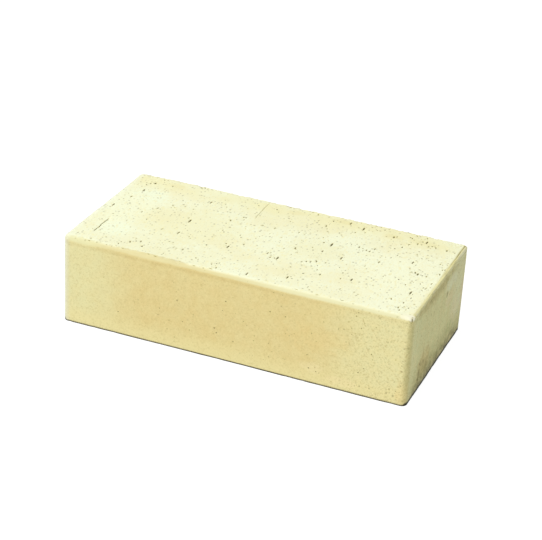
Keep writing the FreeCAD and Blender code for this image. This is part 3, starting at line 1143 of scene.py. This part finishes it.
def stone_material(name, light, dark, size_mm, roughness):
    """A grain's stone; in the brick's sides a film of die skin veils it."""
    n = Nodes(name)
    tone = n.ramp(n.noise(size_mm, roughness=0.65), 0.3, 0.7)
    in_a_side = n.times(n.ramp(n.z, 2.5, 5), n.ramp(n.in_top, 2.5, 5))
    stone = n.blend(n.times(in_a_side, 0.75), n.blend(tone, dark, light), SKIN_SHADE)
    n.feed(n.shader.inputs["Base Color"], stone)
    n.shader.inputs["Roughness"].default_value = roughness
    add_bumps(n, n.noise(size_mm / 3, detail=3), 0.06, 1.0)
    return n.material


# ---------------- making the scene

CLAY_SEED = 65
BACK_EDGE_SEED = 66

# the upper bed's plainest pits: x and y in the bed, half length and half width
STRONG_PITS = (
    (39, 3, 1.4, 0.6), (59, 21, 1.4, 0.5), (67.5, 18, 1.3, 0.5), (69.5, 23, 1.3, 0.5),
    (78.5, 6, 1.6, 0.55), (75, 47, 1.6, 0.6), (88, 41, 1.2, 0.5), (93, 45, 1.3, 0.55),
    (101, 44, 1.1, 0.5), (106, 45, 1.2, 0.5), (114, 44.5, 1.4, 0.6), (87, 51, 1.1, 0.5),
    (-108, 48, 1.7, 0.55), (-113, 19, 1.4, 0.55), (-35, 17, 1.4, 0.55), (-12, 20.5, 1.2, 0.5),
    (-3, 20.5, 1.3, 0.5), (-12, -13, 1.2, 0.5), (-45, -40, 1.3, 0.5), (-71, -49, 1.2, 0.5),
    (35, -16.5, 1.1, 0.5), (41, -13.5, 1.2, 0.5), (50, -30, 1.3, 0.5), (64, -29, 1.1, 0.5),
    (103, -40, 1.3, 0.5), (113.5, 1, 1.2, 0.5), (42.8, 15, 1.7, 0.6), (-62.2, 6.5, 1.3, 0.5),
)
BED_PITS = (
    Pits(4, (1.2, 1.6), (0.26, 0.38), (0.6, 0.9), (0.8, 1.0), huddle=0.3),
    Pits(54, (0.8, 1.5), (0.28, 0.42), (0.4, 0.7), (0.7, 1.0), huddle=0.5),
    Pits(150, (0.4, 0.85), (0.4, 0.7), (0.25, 0.45), (0.55, 1.0), huddle=0.3),
)
STRETCHER_PITS = Pits(
    95, (0.32, 0.68), (0.6, 1.0), (0.18, 0.32), (0.4, 0.95), crowd=1.0, rise=0.0, lean=1.0,
)
HEADER_PITS = Pits(20, (0.28, 0.5), (0.7, 1.0), (0.15, 0.3), (0.3, 0.7), rise=0.0, lean=1.0)
SIDE_PITS = {
    "front": STRETCHER_PITS, "back": STRETCHER_PITS, "right": HEADER_PITS, "left": HEADER_PITS,
}


def mark_upper_bed(face, draw):
    """The marks that this brick has and another one would not: crack, scratch and strongest pits."""
    face.marks.append(Line((-110.2, -20.0), (-110.5, -44.0), 0.3, 0.7, 1.0, seed=31, jog=0.3))
    face.marks.append(Line((-21.4, 27.0), (-22.3, 57.6), 0.2, 0.2, 0.5, seed=33))
    for x, y, long, wide in STRONG_PITS:
        turn = WIRE_WAY + draw.gauss(0, 0.12)
        tail = draw.random()
        add_mark(face, Mark(x, y, long, wide, 0.8, 1.0, turn, tail, draw.randrange(SEEDS)))


def add_tear(face, draw, u, v, long, slender, darks, turn, lean):
    """A shallow tear: ranges of its slenderness and darkness, and the spread about its turn."""
    wide = long * draw.uniform(*slender)
    dark = draw.uniform(*darks)
    turn += draw.gauss(0, lean)
    add_mark(face, Mark(u, v, long, wide, 0.3, dark, turn, seed=draw.randrange(SEEDS)))


def mark_front_arris(face, draw):
    """Small tears that run along the rolled arris."""
    for _ in range(16):
        u = draw.triangular(-HALF_LENGTH + 8, HALF_LENGTH - 12, -58)
        long = draw.uniform(0.8, 1.6)
        v = -HALF_WIDTH + draw.uniform(1.7, 3.4)
        add_tear(face, draw, u, v, long, (0.24, 0.36), (0.5, 0.9), 0.0, 0.12)


def mark_right_lip(face, draw):
    """Fine tears beside the burr, along the wire's way."""
    for _ in range(14):
        long = draw.uniform(0.7, 1.5)
        u = HALF_LENGTH - draw.uniform(2.9, 6.5)
        v = draw.uniform(-22, 46)
        add_tear(face, draw, u, v, long, (0.2, 0.3), (0.5, 0.8), WIRE_WAY, 0.08)


def mark_back_edge(face, draw):
    """Crumbled spots beside the back arris, where the wire left the clay."""
    for _ in range(24):
        u = draw.uniform(-HALF_LENGTH + 6, HALF_LENGTH - 8)
        v = HALF_WIDTH - draw.uniform(1.9, 4.2)
        long = draw.uniform(0.6, 1.2)
        wide = long * draw.uniform(0.4, 0.65)
        turn = WIRE_WAY + draw.gauss(0, 0.5)
        dark = draw.uniform(0.7, 1.0)
        add_mark(face, Mark(u, v, long, wide, 0.5, dark, turn, seed=draw.randrange(SEEDS)))


def main():
    place_camera()
    light_key()
    light_room()
    lay_floor()
    draw = random.Random(CLAY_SEED)
    faces = brick_faces()
    grog = cad_grains("grog_grains", faces)
    spots = cad_grains("iron_spot_grains", faces)
    mark_grains(faces, grog, spots)
    upper = faces["upper"]
    mark_upper_bed(upper, draw)
    mark_front_arris(upper, draw)
    mark_right_lip(upper, draw)
    for bed in ("upper", "lower"):
        for sort in BED_PITS:
            scatter_pits(faces[bed], sort, draw)
    for side, sort in SIDE_PITS.items():
        scatter_pits(faces[side], sort, draw)
    mark_back_edge(upper, random.Random(BACK_EDGE_SEED))
    make_brick(faces, edge_chips(draw), clay_material())
    grog_stone = stone_material("grog", srgb(140, 130, 80), srgb(96, 88, 50), 0.8, 0.9)
    iron_stone = stone_material("iron_spot", srgb(98, 92, 52), srgb(54, 50, 26), 0.5, 0.7)
    make_grains("grog_stones", grog, faces, 3, 1.1, 0.15, grog_stone, "grog_grains")
    make_grains("iron_spot_stones", spots, faces, 2, 1.0, 0.08, iron_stone, "iron_spot_grains")


main()
